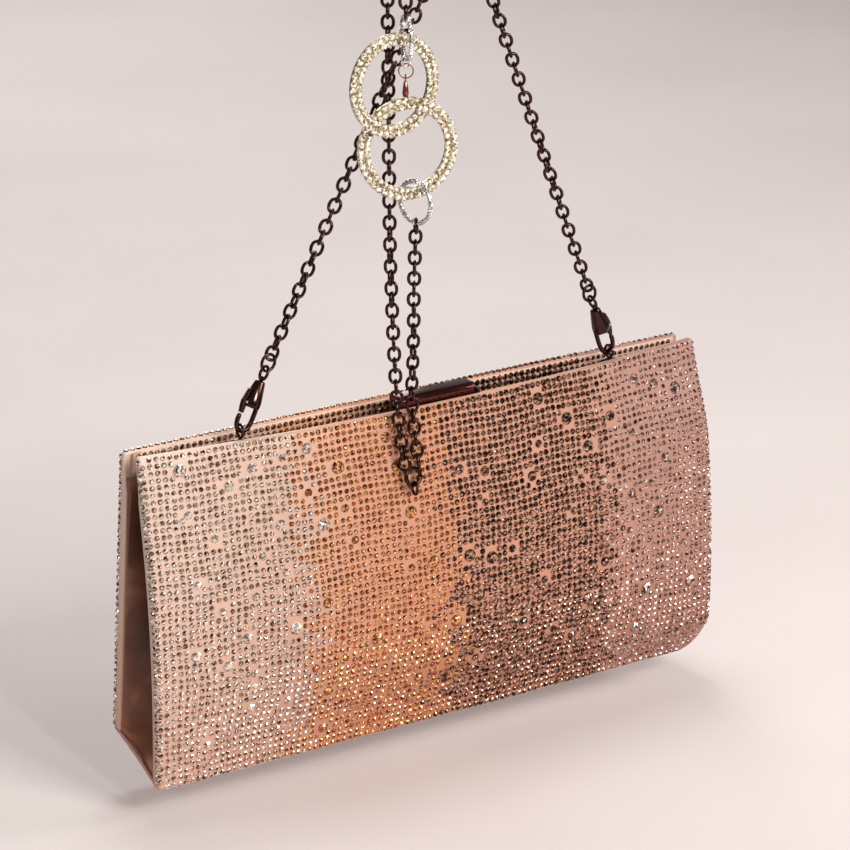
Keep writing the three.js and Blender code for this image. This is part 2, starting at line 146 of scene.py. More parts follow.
# ---------------------------------------------------------------- materials

def blank(name):
    """A new node material: the material, its tree and its main shader."""
    made = bpy.data.materials.new(name)
    made.use_nodes = True
    tree = made.node_tree
    return made, tree, tree.nodes["Principled BSDF"]


def node(tree, kind, **values):
    """A node with its unlinked inputs set by name."""
    made = tree.nodes.new("ShaderNode" + kind)
    for key, value in values.items():
        made.inputs[key.replace("_", " ")].default_value = value
    return made


def object_place(tree, stretch=(1, 1, 1)):
    """The point on the piece, stretched along its axes."""
    place = tree.nodes.new("ShaderNodeTexCoord")
    mapping = node(tree, "Mapping", Scale=stretch)
    tree.links.new(place.outputs["Object"], mapping.inputs["Vector"])
    return mapping.outputs["Vector"]


def noise(tree, scale, detail=3.0, stretch=(1, 1, 1)):
    made = node(tree, "TexNoise", Scale=scale, Detail=detail)
    tree.links.new(object_place(tree, stretch), made.inputs["Vector"])
    return made.outputs["Fac"]


def ramp(tree, source, stops):
    """A colour ramp over a value, with stops of (place, colour)."""
    made = tree.nodes.new("ShaderNodeValToRGB")
    while len(made.color_ramp.elements) < len(stops):
        made.color_ramp.elements.new(1.0)
    for element, (place, colour) in zip(made.color_ramp.elements, stops):
        element.position = place
        element.color = (*colour, 1)
    tree.links.new(source, made.inputs["Fac"])
    return made.outputs["Color"]


def spread(tree, source, low, high):
    """A value from 0 to 1 taken to the range from low to high."""
    made = node(tree, "MapRange", To_Min=low, To_Max=high)
    tree.links.new(source, made.inputs["Value"])
    return made.outputs["Result"]


def bump(tree, shader, source, strength, distance):
    made = node(tree, "Bump", Strength=strength, Distance=distance)
    tree.links.new(source, made.inputs["Height"])
    tree.links.new(made.outputs["Normal"], shader.inputs["Normal"])


def metal(name, colour, roughness, wear=0.06, grain=900, coat=0.3):
    """Plated metal with slightly uneven polish."""
    made, tree, shader = blank(name)
    shader.inputs["Metallic"].default_value = 1
    shader.inputs["Coat Weight"].default_value = coat
    shader.inputs["Coat Roughness"].default_value = 0.06
    dark = tuple(c * 0.8 for c in colour)
    light = tuple(min(1, c * 1.2) for c in colour)
    tone = ramp(tree, noise(tree, grain), [(0.3, dark), (0.7, light)])
    tree.links.new(tone, shader.inputs["Base Color"])
    rough = spread(tree, noise(tree, grain * 2), roughness - wear, roughness + wear)
    tree.links.new(rough, shader.inputs["Roughness"])
    bump(tree, shader, noise(tree, grain * 4), 0.05, 0.0001)
    return made


def satin(name, stops, roughness=0.4, sheen=0.5, painted_foot_shading=(1, 1, 1), gloss=0.6):
    """Satin: fine threads along the bag, and a colour that changes along the length, times painted shading
    that changes with the height.
    """
    made, tree, shader = blank(name)
    shader.inputs["Sheen Weight"].default_value = sheen
    shader.inputs["Sheen Roughness"].default_value = 0.35
    shader.inputs["Sheen Tint"].default_value = (1, 0.86, 0.78, 1)
    shader.inputs["Specular IOR Level"].default_value = gloss
    axes = tree.nodes.new("ShaderNodeSeparateXYZ")
    tree.links.new(object_place(tree), axes.inputs["Vector"])
    along = node(tree, "MapRange", From_Min=-HALF, From_Max=HALF)
    tree.links.new(axes.outputs["X"], along.inputs["Value"])
    sway = tree.nodes.new("ShaderNodeMath")
    sway.operation = "ADD"
    tree.links.new(along.outputs["Result"], sway.inputs[0])
    tree.links.new(spread(tree, noise(tree, 45), -0.05, 0.05), sway.inputs[1])
    colour = ramp(tree, sway.outputs["Value"], stops)
    height = node(tree, "MapRange", From_Min=FOOT, From_Max=FOOT + HEIGHT)
    tree.links.new(axes.outputs["Z"], height.inputs["Value"])
    # Painted shading by height: the colour is multiplied by painted_foot_shading at the foot, fading to
    # none at three quarters of the height.
    shade = ramp(tree, height.outputs["Result"], [(0.0, painted_foot_shading), (0.75, (1, 1, 1))])
    tinted = tree.nodes.new("ShaderNodeVectorMath")
    tinted.operation = "MULTIPLY"
    tree.links.new(colour, tinted.inputs[0])
    tree.links.new(shade, tinted.inputs[1])
    tree.links.new(tinted.outputs["Vector"], shader.inputs["Base Color"])
    threads = noise(tree, 1.0, 2.0, (350, 350, 4200))
    tree.links.new(spread(tree, threads, roughness - 0.07, roughness + 0.07), shader.inputs["Roughness"])
    bump(tree, shader, threads, 0.25, 0.0001)
    return made


def cut_stone(name, dark, middle, light, metallic=1.0):
    """Foil-backed cut glass: small dark and bright fields under a clear gloss."""
    made, tree, shader = blank(name)
    shader.inputs["Metallic"].default_value = metallic
    shader.inputs["Roughness"].default_value = 0.26
    shader.inputs["Coat Weight"].default_value = 0.3
    shader.inputs["Coat Roughness"].default_value = 0.03
    shader.inputs["Coat IOR"].default_value = 1.6
    cells = node(tree, "TexVoronoi", Scale=1300)
    tree.links.new(object_place(tree), cells.inputs["Vector"])
    field = tree.nodes.new("ShaderNodeSeparateColor")
    tree.links.new(cells.outputs["Color"], field.inputs["Color"])
    tone = ramp(tree, field.outputs["Red"], [(0.05, dark), (0.5, middle), (0.9, light)])
    tree.links.new(tone, shader.inputs["Base Color"])
    return made


def matte(name, roughness, grain, dark, light):
    """Board or paper, slightly mottled."""
    made, tree, shader = blank(name)
    shader.inputs["Roughness"].default_value = roughness
    tone = ramp(tree, noise(tree, grain), [(0.3, dark), (0.7, light)])
    tree.links.new(tone, shader.inputs["Base Color"])
    return made


OUTER_STOPS = [
    (0.0, (0.64, 0.47, 0.385)), (0.20, (0.54, 0.35, 0.265)), (0.34, (0.50, 0.25, 0.165)),
    (0.46, (0.48, 0.225, 0.14)), (0.58, (0.48, 0.24, 0.155)), (0.74, (0.45, 0.23, 0.16)),
    (0.84, (0.35, 0.185, 0.14)), (1.0, (0.30, 0.155, 0.12)),
]
# Painted shade: the outer satin's foot factor (0.92, 0.70, 0.64) darkens it towards the foot of the walls.
SATIN = satin("stoned_satin", OUTER_STOPS, 0.36, 0.4, (0.92, 0.70, 0.64))
LINING = satin("lining_satin", [(0.0, (0.36, 0.20, 0.13)), (1.0, (0.38, 0.22, 0.15))])
# Painted shade and painted light: the gusset satin is painted near-black deep in its fold and lighter on
# narrow strips at its outer edges. A foot factor of (1.6, 1.4, 1.3) paints light towards its foot.
GUSSET_PAINTED_SHADING = satin("gusset_satin_painted_shading", [
    (0.0, (0.28, 0.14, 0.09)), (0.012, (0.15, 0.06, 0.035)), (0.05, (0.04, 0.014, 0.008)),
    (0.95, (0.04, 0.014, 0.008)), (0.988, (0.15, 0.06, 0.035)), (1.0, (0.28, 0.14, 0.09)),
], 0.33, 0.03, (1.6, 1.4, 1.3), 0.3)
TRIM = satin("trim_satin", [(0.0, (0.62, 0.40, 0.29)), (1.0, (0.56, 0.37, 0.29))], 0.36)
GUNMETAL = metal("gunmetal", (0.050, 0.024, 0.021), 0.12, 0.04, coat=0.0)
CHAIN = metal("chain_plating", (0.052, 0.025, 0.022), 0.1, 0.03, coat=0.0)
BAR = metal("bar_plating", (0.075, 0.020, 0.017), 0.14, coat=0.1)
GOLD = metal("ring_plating", (0.44, 0.33, 0.19), 0.28)
SILVER = metal("silver_plating", (0.62, 0.60, 0.58), 0.2)
COPPER = metal("rose_plating", (0.24, 0.085, 0.055), 0.22)
STEEL = metal("plain_steel", (0.45, 0.45, 0.46), 0.35)
BOARD = matte("grey_board", 0.9, 600, (0.30, 0.28, 0.24), (0.42, 0.39, 0.34))
PAPER = matte("floor_paper", 0.85, 6, (0.62, 0.57, 0.56), (0.65, 0.60, 0.59))
STONES = {
    "clear": cut_stone("clear_stone", (0.012, 0.005, 0.003), (0.46, 0.30, 0.22), (1.0, 0.95, 0.88)),
    "gold": cut_stone("topaz_stone", (0.03, 0.007, 0.002), (0.48, 0.14, 0.035), (1.0, 0.62, 0.30)),
    "dark": cut_stone("smoky_stone", (0.003, 0.001, 0.001), (0.032, 0.011, 0.006), (0.70, 0.40, 0.28)),
    "rose": cut_stone("rose_stone", (0.010, 0.004, 0.003), (0.28, 0.145, 0.105), (1.0, 0.80, 0.70)),
    "ice": cut_stone("large_clear_stone", (0.16, 0.10, 0.07), (0.92, 0.78, 0.66), (1.0, 0.98, 0.94)),
    "pale": cut_stone("ring_stone", (0.15, 0.105, 0.05), (0.87, 0.82, 0.64), (1.0, 1.0, 0.94), 0.6),
    "white": cut_stone("pave_stone", (0.20, 0.19, 0.18), (0.70, 0.68, 0.65), (1.0, 1.0, 0.98)),
}
BIG_LOOK = {"clear": "ice", "gold": "gold", "dark": "dark", "rose": "rose"}


# ---------------------------------------------------------------- meshes

def shown(name, data):
    """A new object in the scene."""
    made = bpy.data.objects.new(name, data)
    bpy.context.scene.collection.objects.link(made)
    return made


def piece(name, places, faces, look, smooth=True, slot=None):
    """A mesh object from places and faces."""
    mesh = bpy.data.meshes.new(name)
    mesh.from_pydata([tuple(map(float, p)) for p in places], [], [tuple(f) for f in faces])
    mesh.materials.append(look)
    mesh.polygons.foreach_set("use_smooth", [smooth] * len(mesh.polygons))
    mesh.update()
    made = shown(name, mesh)
    return made


def fitted(made, body, *nodes):
    """Lets the piece stand for these CAD nodes and move with the body."""
    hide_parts(*nodes)
    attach(made, body)
    return made


def joined(parts):
    """Several (places, faces) as one."""
    places = []
    faces = []
    for more_places, more_faces in parts:
        start = len(places)
        places.extend(more_places)
        faces.extend([[start + k for k in face] for face in more_faces])
    return places, faces


def bevelled(made, width, segments=2, angle=30):
    """Rounds a piece's edges, and keeps its flat faces flat."""
    bevel = made.modifiers.new("bevel", "BEVEL")
    bevel.width = width
    bevel.segments = segments
    bevel.limit_method = "ANGLE"
    bevel.angle_limit = math.radians(angle)
    graph = bpy.context.evaluated_depsgraph_get()
    mesh = bpy.data.meshes.new_from_object(made.evaluated_get(graph))
    made.modifiers.clear()
    made.data = mesh
    mesh.polygons.foreach_set("use_smooth", [True] * len(mesh.polygons))
    mesh.set_sharp_from_angle(angle=math.radians(35))


def along_frames(points, closed=False):
    """Directions and two crossing axes at each point of a line, turning as little as they can."""
    points = np.asarray(points, float)
    if closed:
        ahead = np.roll(points, -1, 0) - np.roll(points, 1, 0)
    else:
        ahead = np.gradient(points, axis=0)
    ahead /= np.linalg.norm(ahead, axis=1)[:, None]
    side = np.cross(ahead[0], (0.0, 0.0, 1.0))
    if np.linalg.norm(side) < 0.1:
        side = np.cross(ahead[0], (1.0, 0.0, 0.0))
    sides = []
    for direction in ahead:
        side = side - direction * np.dot(side, direction)
        side = side / np.linalg.norm(side)
        sides.append(side)
    sides = np.array(sides)
    return ahead, sides, np.cross(ahead, sides)


def ring_faces(rings, sides, closed=False):
    """Faces between neighbouring rings of places, with flat ends where the run is open."""
    faces = []
    for j in range(rings if closed else rings - 1):
        here, there = j * sides, (j + 1) % rings * sides
        for k in range(sides):
            after = (k + 1) % sides
            faces.append([here + k, here + after, there + after, there + k])
    if not closed:
        faces.append(list(range(sides))[::-1])
        faces.append([(rings - 1) * sides + k for k in range(sides)])
    return faces


def tube(points, radius, sides=10, closed=False):
    """A round wire along a line, with flat ends where it is open."""
    points = np.asarray(points, float)
    radii = np.broadcast_to(radius, len(points))
    _, across, up = along_frames(points, closed)
    places = []
    for centre, a, b, r in zip(points, across, up, radii):
        for k in range(sides):
            turn = 2 * math.pi * k / sides
            places.append(centre + r * (math.cos(turn) * a + math.sin(turn) * b))
    return places, ring_faces(len(points), sides, closed)


def smooth_line(points, spacing):
    """A smooth line through the points, with places at even spacing."""
    points = [np.array(p, float) for p in points]
    padded = [2 * points[0] - points[1], *points, 2 * points[-1] - points[-2]]
    dense = []
    for a, b, c, d in zip(padded, padded[1:], padded[2:], padded[3:]):
        for t in np.linspace(0, 1, 24, endpoint=False):
            dense.append(0.5 * (2 * b + (c - a) * t + (2 * a - 5 * b + 4 * c - d) * t ** 2
                                + (3 * b - a - 3 * c + d) * t ** 3))
    dense.append(points[-1])
    dense = np.array(dense)
    run = np.concatenate([[0], np.cumsum(np.linalg.norm(np.diff(dense, axis=0), axis=1))])
    count = max(2, round(run[-1] / spacing) + 1)
    wanted = np.linspace(0, run[-1], count)
    return np.stack([np.interp(wanted, run, dense[:, k]) for k in range(3)], axis=1), run[-1]


def circle(centre, radius, u, v, count):
    """Points of a circle in the plane of u and v."""
    turns = 2 * np.pi * np.arange(count) / count
    return (np.array(centre, float) + radius * (np.outer(np.cos(turns), u)
                                                + np.outer(np.sin(turns), v)))


# ---------------------------------------------------------------- walls

def smoothstep(value):
    value = np.clip(value, 0, 1)
    return value * value * (3 - 2 * value)


def front_face(x, share):
    """Depth and height of the front wall's outer face."""
    across = 1 - (x / HALF) ** 2
    wave = np.sin(np.pi * share)
    upright = smoothstep(share / 0.14) * smoothstep((1 - share) / 0.3)
    puff = RIGHT_PUFF * smoothstep((x / HALF - 0.3) / 0.7) * upright
    bow = (TOP_BOW * smoothstep(share / 0.35) + MIDDLE_BULGE * wave) * across + puff
    return FRONT_TOP_Y - FRONT_LEAN * (1 - share) - END_BULGE * wave - bow, FOOT + share * HEIGHT


def back_face(x, share):
    """Depth and height of the back wall's outer face."""
    bow = BACK_BULGE * np.sin(np.pi * share) * (1 - (x / HALF) ** 2)
    y = CREASE_Y + (BACK_TOP_Y - CREASE_Y) * share + bow
    return y, CREASE_Z + (BACK_TOP_Z - CREASE_Z) * share


FRONT = {"face": front_face, "inward": 1, "height": HEIGHT, "corners": FRONT_CORNERS}
BACK = {"face": back_face, "inward": -1, "height": BACK_TOP_Z - CREASE_Z, "corners": BACK_CORNERS}


def rim_lines(low, high, count):
    """Places from low to high, close together where the rim rolls over."""
    roll = [RIM * (1 - math.cos(math.radians(a))) for a in (0, 30, 60)]
    middle = list(np.linspace(low + RIM, high - RIM, count))
    return np.array([low + r for r in roll] + middle + [high - r for r in reversed(roll)])


def rounded(x, h, wall):
    """Draws the wall's corners in to their radii. h is the height on the wall."""
    x, h = x.copy(), h.copy()
    for (side, top), radius in wall["corners"].items():
        centre_x = side * (HALF - radius)
        centre_h = wall["height"] - radius if top else radius
        out_x = np.maximum((x - centre_x) * side, 0)
        out_h = np.maximum((h - centre_h) * (1 if top else -1), 0)
        longest = np.maximum(out_x, out_h)
        reach = np.hypot(out_x, out_h)
        inside = (out_x > 0) & (out_h > 0)
        k = np.where(inside, longest / np.maximum(reach, 1e-12), 1)
        x = np.where(inside, centre_x + side * out_x * k, x)
        h = np.where(inside, centre_h + (1 if top else -1) * out_h * k, h)
    return x, h


def layered_faces(rows, columns):
    """The faces of two layers of places, one in front of the other, and of the rim between them."""
    faces = []
    layer = rows * columns
    for j in range(rows - 1):
        for i in range(columns - 1):
            a = j * columns + i
            faces.append([a, a + 1, a + columns + 1, a + columns])
            faces.append([layer + a, layer + a + columns, layer + a + columns + 1, layer + a + 1])
    rim = (list(range(columns)) + [j * columns + columns - 1 for j in range(1, rows)]
           + [(rows - 1) * columns + i for i in range(columns - 2, -1, -1)]
           + [j * columns for j in range(rows - 2, 0, -1)])
    for a, b in zip(rim, rim[1:] + rim[:1]):
        faces.append([b, a, layer + a, layer + b])
    return faces


def wall_shell(name, wall, looks):
    """One padded wall: an outer face that rolls over at its rim, and a lining in the second look."""
    xs = rim_lines(-HALF, HALF, 61)
    hs = rim_lines(0, wall["height"], 31)
    grid_x, grid_h = np.meshgrid(xs, hs)
    edge = np.minimum(np.minimum(HALF - abs(grid_x), grid_h), wall["height"] - grid_h)
    inner = np.clip(1 - edge / RIM, 0, 1)
    roll = RIM * (1 - np.sqrt(1 - inner ** 2))
    plan_x, plan_h = rounded(grid_x, grid_h, wall)
    y, z = wall["face"](plan_x, plan_h / wall["height"])
    thick = WALL - (WALL - LIP) * smoothstep((plan_h / wall["height"] - 0.86) / 0.06)
    quilt = 0.00012 * np.sin(plan_x * 310) * np.sin(plan_h * 270)
    outer = np.stack([plan_x, y + wall["inward"] * (roll + quilt), z], -1)
    lining = np.stack([plan_x, y + wall["inward"] * (thick - 0.6 * roll), z], -1)
    places = np.concatenate([outer.reshape(-1, 3), lining.reshape(-1, 3)])
    rows, columns = grid_x.shape
    faces = layered_faces(rows, columns)
    looks_of = [int(inside and 3 < j < rows - 7 and 2 < i < columns - 4)
                for j in range(rows - 1) for i in range(columns - 1) for inside in (False, True)]
    looks_of += [0] * (len(faces) - len(looks_of))
    if wall["inward"] < 0:
        faces = [face[::-1] for face in faces]
    made = piece(name, places, faces, looks[0], slot="satin")
    made.data.materials.append(looks[1])
    made.data.polygons.foreach_set("material_index", looks_of)
    return made


def place_on(wall, x, h):
    """Places on a wall's outer face and the directions that stick out of it."""
    step = 0.0005
    share = h / wall["height"]

    def at(px, ps):
        y, z = wall["face"](px, ps)
        return np.stack([px, y, z], -1)

    here = at(x, share)
    along = at(x + step, share) - here
    up = at(x, share + step / wall["height"]) - here
    out = np.cross(along, up) * wall["inward"]
    return here, out / np.linalg.norm(out, axis=1)[:, None]


# ---------------------------------------------------------------- stones

def stone_form(sides=8):
    """A cut stone of radius 1 on a flat back: girdle, crown facets and table."""
    turns = [2 * math.pi * k / sides for k in range(sides)]
    half = math.pi / sides
    rings = [(1.0, -0.12, 0), (1.0, 0.2, 0), (0.55, 0.62, half)]
    places = [(r * math.cos(t + shift), r * math.sin(t + shift), z)
              for r, z, shift in rings for t in turns]
    faces = [list(range(sides))[::-1], [2 * sides + k for k in range(sides)]]
    for k in range(sides):
        after = (k + 1) % sides
        faces.append([k, after, sides + after, sides + k])
        faces.append([sides + k, sides + after, 2 * sides + k])
        faces.append([2 * sides + k, sides + after, 2 * sides + after])
    return np.array(places), faces


def stones(name, centres, outs, radii, look, slot, body, sides=8):
    """Cut stones at these places, as one mesh that moves with the body."""
    form, form_faces = stone_form(sides)
    count = len(centres)
    outs = outs + rng.normal(0, 0.035, (count, 3))
    outs /= np.linalg.norm(outs, axis=1)[:, None]
    side = np.cross(outs, (0.31, 0.12, 0.94))
    side /= np.linalg.norm(side, axis=1)[:, None]
    up = np.cross(outs, side)
    spin = rng.uniform(0, 2 * np.pi, count)
    u = np.cos(spin)[:, None] * side + np.sin(spin)[:, None] * up
    v = np.cross(outs, u)
    scaled = form[None] * np.asarray(radii, float)[:, None, None]
    places = (centres[:, None] + scaled[..., 0:1] * u[:, None] + scaled[..., 1:2] * v[:, None]
              + scaled[..., 2:3] * outs[:, None])
    faces = [[k * len(form) + c for c in face] for k in range(count) for face in form_faces]
    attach(piece(name, places.reshape(-1, 3), faces, look, smooth=False, slot=slot), body)


def zone_of(x):
    """The colour zone of each place along the bag, mixed where two zones meet."""
    drift = x + rng.normal(0, 0.0055, len(x))
    return np.digitize(drift, ZONE_ENDS)


def zone_radius(zone):
    """The usual stone radius in each place's colour zone."""
    return np.array([STONE_RADIUS[colour] for colour in ZONES])[zone]


def zoned_stones(pattern, zone, centres, outs, radii, body):
    """Stones in their zones' colours, one piece for each colour."""
    for k, colour in enumerate(ZONES):
        some = zone == k
        name = pattern.format(colour)
        stones(name, centres[some], outs[some], radii[some], STONES[colour], "satin", body)


def big_places(wall):
    """Scattered places for the larger stones, never close to each other."""
    kept = []
    while len(kept) < BIG_STONES:
        x = rng.uniform(-HALF + 0.012, HALF - 0.012)
        h = wall["height"] * (0.07 + 0.88 * rng.uniform() ** 0.8)
        if all((x - a) ** 2 + (h - b) ** 2 > 0.0105 ** 2 for a, b, _ in kept):
            kept.append((x, h, BIG_RADII[rng.choice(3, p=(0.45, 0.35, 0.2))]))
    return np.array(kept)


def wall_stones(side, wall, body):
    """The stones of one wall: an even field in four colours, with larger stones scattered in it."""
    columns = round(2 * (HALF - SIDE_MARGIN) / PITCH) + 1
    rows = round((wall["height"] - TOP_MARGIN - FOOT_MARGIN) / PITCH) + 1
    xs = np.linspace(-HALF + SIDE_MARGIN, HALF - SIDE_MARGIN, columns)
    hs = np.linspace(FOOT_MARGIN, wall["height"] - TOP_MARGIN, rows)
    x, h = (a.ravel() for a in np.meshgrid(xs, hs))
    inner = np.minimum(1, (HALF - SIDE_MARGIN - abs(x)) / 0.01)
    h = h + inner * (0.0004 * np.sin(x * 130 + 1) + rng.normal(0, 0.00009, len(x)))
    x = x + inner * (0.0004 * np.sin(h * 150 + x * 40) + rng.normal(0, 0.00009, len(x)))
    h = np.clip(h, FOOT_MARGIN, wall["height"] - TOP_MARGIN)
    big = big_places(wall)
    zone = zone_of(x)
    radius = zone_radius(zone) * rng.uniform(0.93, 1.07, len(x))
    keep = np.ones(len(x), bool)
    for bx, bh, r in big:
        keep &= np.hypot(x - bx, h - bh) > r + radius + 0.0001
    for (sx, top), corner in wall["corners"].items():
        cx = sx * (HALF - corner)
        ch = wall["height"] - corner if top else corner
        outside = ((x - cx) * sx > 0) & ((h - ch) * (1 if top else -1) > 0)
        keep &= ~(outside & (np.hypot(x - cx, h - ch) > corner - 0.0016))
    big_zone = zone_of(big[:, 0])
    for k, colour in enumerate(ZONES):
        some = keep & (zone == k)
        centres, outs = place_on(wall, x[some], h[some])
        name = f"{side}_stones_{colour}"
        stones(name, centres, outs, radius[some], STONES[colour], "satin", body)
        large = big_zone == k
        centres, outs = place_on(wall, big[large, 0], big[large, 1])
        name = f"{side}_large_stones_{colour}"
        stones(name, centres, outs, big[large, 2], STONES[BIG_LOOK[colour]], "satin", body, 10)


def side_rim(name, wall, body, sign, lead, inset):
    """A column of stones down one end of a wall, where the field wraps over its edge."""
    low = (wall["corners"][(sign, 0)] + 0.001) / wall["height"]
    count = round((0.985 - low) * wall["height"] / PITCH)
    share = np.linspace(low, 0.985, count)
    y, z = wall["face"](np.full(count, sign * HALF), share)
    centres = np.stack([np.full(count, sign * (HALF - 0.0002)), y + inset, z], -1)
    outs = np.tile((sign * 0.94, lead, 0.0), (count, 1))
    colour = "clear" if sign < 0 else "rose"
    radii = np.full(count, STONE_RADIUS[colour])
    stones(name, centres, outs, radii, STONES[colour], "satin", body)


def rim_stones():
    """The rows of stones along the rims: both walls' ends and the back wall's top."""
    for side, sign in (("left", -1), ("right", 1)):
        side_rim(f"front_rim_stones_{side}", FRONT, "front_half", sign, -0.35, 0.0009)
        side_rim(f"back_rim_stones_{side}", BACK, "back_half", sign, 0.35, -0.0009)
    count = round(2 * (HALF - 0.002) / PITCH)
    x = np.linspace(-HALF + 0.002, HALF - 0.002, count)
    y = back_face(x, 1.0)[0] - 0.0015
    top = np.stack([x, y, np.full(count, BACK_TOP_Z - 0.0001)], -1)
    outs = np.tile((0.0, 0.05, 1.0), (count, 1))
    zone = zone_of(x)
    zoned_stones("back_rim_stones_{}", zone, top, outs, zone_radius(zone), "back_half")


def thick_sheet(grid, thickness):
    """A closed sheet of cloth from a grid of points on its middle."""
    along = np.gradient(grid, axis=1)
    up = np.gradient(grid, axis=0)
    out = np.cross(along, up)
    out /= np.linalg.norm(out, axis=2)[..., None]
    places = np.concatenate([(grid + out * thickness / 2).reshape(-1, 3),
                             (grid - out * thickness / 2).reshape(-1, 3)])
    return places, layered_faces(*grid.shape[:2])


def sheet_piece(name, grid, thickness, look, slot, body, node_name):
    """A sheet of cloth or board in place of the CAD node of that name."""
    places, faces = thick_sheet(np.array(grid), thickness)
    return fitted(piece(name, places, faces, look, slot=slot), body, node_name)


def foot_height(x, wall):
    """How far above its foot a wall's rounded lower corners begin, at a place along the bag."""
    radius = wall["corners"][(1 if x > 0 else -1, 0)]
    out = max(0.0, abs(x) - (HALF - radius))
    return radius - math.sqrt(max(0.0, radius ** 2 - out ** 2))


def base_skin():
    """The satin under the bag, from the front wall's foot up to the crease."""
    xs = rim_lines(-HALF + 0.0004, HALF - 0.0004, 41)
    grid = []
    for t in np.linspace(0, 1, 9):
        row = []
        for x in xs:
            y0, z0 = front_face(x, foot_height(x, FRONT) / HEIGHT)
            y1, z1 = back_face(x, foot_height(x, BACK) / BACK["height"])
            start = np.array([x, y0 + 0.0016, z0 + 0.0006])
            end = np.array([x, y1 - 0.0012, z1 + 0.0006])
            row.append(start + (end - start) * t + (0, 0, 0.0007 * math.sin(math.pi * t)))
        grid.append(row)
    sheet_piece("base_satin", grid, 0.0012, SATIN, "satin", "front_half", "base_panel")


def base_stiffener():
    """The board on the base, ending short of the rounded corners."""
    low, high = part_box("base_board")
    grid = []
    for t in np.linspace(0, 1, 5):
        y = low.y + (high.y - low.y) * t
        z = low.z + 0.0007 + (high.z - low.z - 0.0014) * t
        grid.append([(x, y, z) for x in np.linspace(0.014 - HALF, HALF - 0.014, 21)])
    sheet_piece("base_stiffener", grid, 0.0012, BOARD, "board", "front_half", "base_board")


def gusset(side, sign):
    """A side gusset: one satin sheet folded inwards at its middle, sewn to both walls and the base.

    On the sheet, u runs from the front wall to the back one and v from the base to the mouth.
    """
    end = sign * HALF * 0.985
    grid = []
    for v in np.linspace(0, 1, 61):
        row = []
        for u in np.linspace(0, 1, 33):
            peak = 1 - abs(2 * u - 1) ** 1.25
            foot_x = sign * (GUSSET_EDGE - 0.15 * GUSSET_FOLDS[0] * peak)
            lift = foot_height(foot_x, FRONT) * (1 - u) + foot_height(foot_x, BACK) * u
            foot_z = FOOT + 0.003 + 0.0125 * u + lift
            z = foot_z + (GUSSET_TOP - foot_z) * v
            y0 = front_face(end, (z - FOOT) / HEIGHT)[0] + SEAM_INSET
            y1 = back_face(end, max(0, z - CREASE_Z) / BACK["height"])[0] - SEAM_INSET
            fold = (GUSSET_FOLDS[0] + (GUSSET_FOLDS[1] - GUSSET_FOLDS[0]) * v) * min(1, 0.15 + v * 5)
            crumple = 0.0006 * math.sin(9 * v + 7 * u) + 0.0005 * math.sin(31 * v + 3 * u)
            ripple = crumple * math.sin(math.pi * u) * (1.4 - v)
            tuck = 0.0022 * math.exp(-((v - 0.17 - 0.05 * u) / 0.018) ** 2) * math.sin(math.pi * u)
            x = sign * (GUSSET_EDGE - fold * peak + ripple - tuck)
            row.append((x, y0 + (y1 - y0) * u, z))
        grid.append(row)
    grid = np.array(grid)
    places, faces = thick_sheet(grid, 0.0005)
    if sign > 0:
        faces = [face[::-1] for face in faces]
    cloth = piece(f"gusset_{side}", places, faces, GUSSET_PAINTED_SHADING, slot="dark_satin")
    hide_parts(f"gusset_{side}_front", f"gusset_{side}_back")
    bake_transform(cloth)


def band():
    """The satin band inside the top of the back wall, with its two rows of stones."""
    low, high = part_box("back_band")
    xs = np.linspace(low.x, high.x, 45)
    grid = []
    for z in np.linspace(low.z, high.z, 6):
        share = (z - CREASE_Z) / BACK["height"]
        grid.append([(x, back_face(x, share)[0] - 0.0047, z) for x in xs])
    sheet_piece("inner_band", grid, 0.0011, TRIM, "satin", "back_half", "back_band")
    count = round((high.x - low.x - 0.005) / PITCH)
    for row, drop in enumerate((0.0013, 0.0041)):
        z = high.z - drop
        x = np.linspace(low.x + 0.002, high.x - 0.003, count) + row * PITCH / 4
        share = (z - CREASE_Z) / BACK["height"]
        y = back_face(x, share)[0] - 0.0052
        centres = np.stack([x, y, np.full(count, z)], -1)
        outs = np.tile((0.0, -0.99, 0.1), (count, 1))
        zone = zone_of(x)
        pattern = f"band_stones_{{}}_{row + 1}"
        zoned_stones(pattern, zone, centres, outs, 1.08 * zone_radius(zone), "back_half")


def slip_pocket():
    """The pocket of lining cloth on the back wall's inner face, with a doubled hem at its mouth."""
    low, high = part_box("slip_pocket")
    grid = []
    for z in np.linspace(low.z, high.z, 21):
        row = []
        for x in np.linspace(low.x, high.x, 41):
            y = back_face(x, (z - CREASE_Z) / BACK["height"])[0] - POCKET_DEPTH
            sag = 0.0012 * ((z - low.z) / (high.z - low.z)) ** 2 * math.cos(math.pi * x / (high.x - low.x))
            hem = 0.0003 if high.z - z < 0.008 else 0.0
            row.append((x, y - sag - hem, z))
        grid.append(row)
    cloth = sheet_piece("slip_pocket_cloth", grid, 0.0006, LINING, "satin", "back_half", "slip_pocket")


def walls():
    """Both walls with their stones, and the sheets between them."""
    front = wall_shell("front_wall", FRONT, (SATIN, LINING))
    fitted(front, "front_half", "front_panel", "front_board", "front_lining", "front_frame",
           "front_binding_left", "front_binding_right")
    back = wall_shell("back_wall", BACK, (SATIN, LINING))
    fitted(back, "back_half", "back_panel", "back_board", "back_lining", "back_frame",
           "back_binding_left", "back_binding_right")
    wall_stones("front", FRONT, "front_half")
    wall_stones("back", BACK, "back_half")
    rim_stones()
    band()
    base_skin()
    base_stiffener()
    slip_pocket()
    gusset("left", -1)
    gusset("right", 1)


# ---------------------------------------------------------------- chain

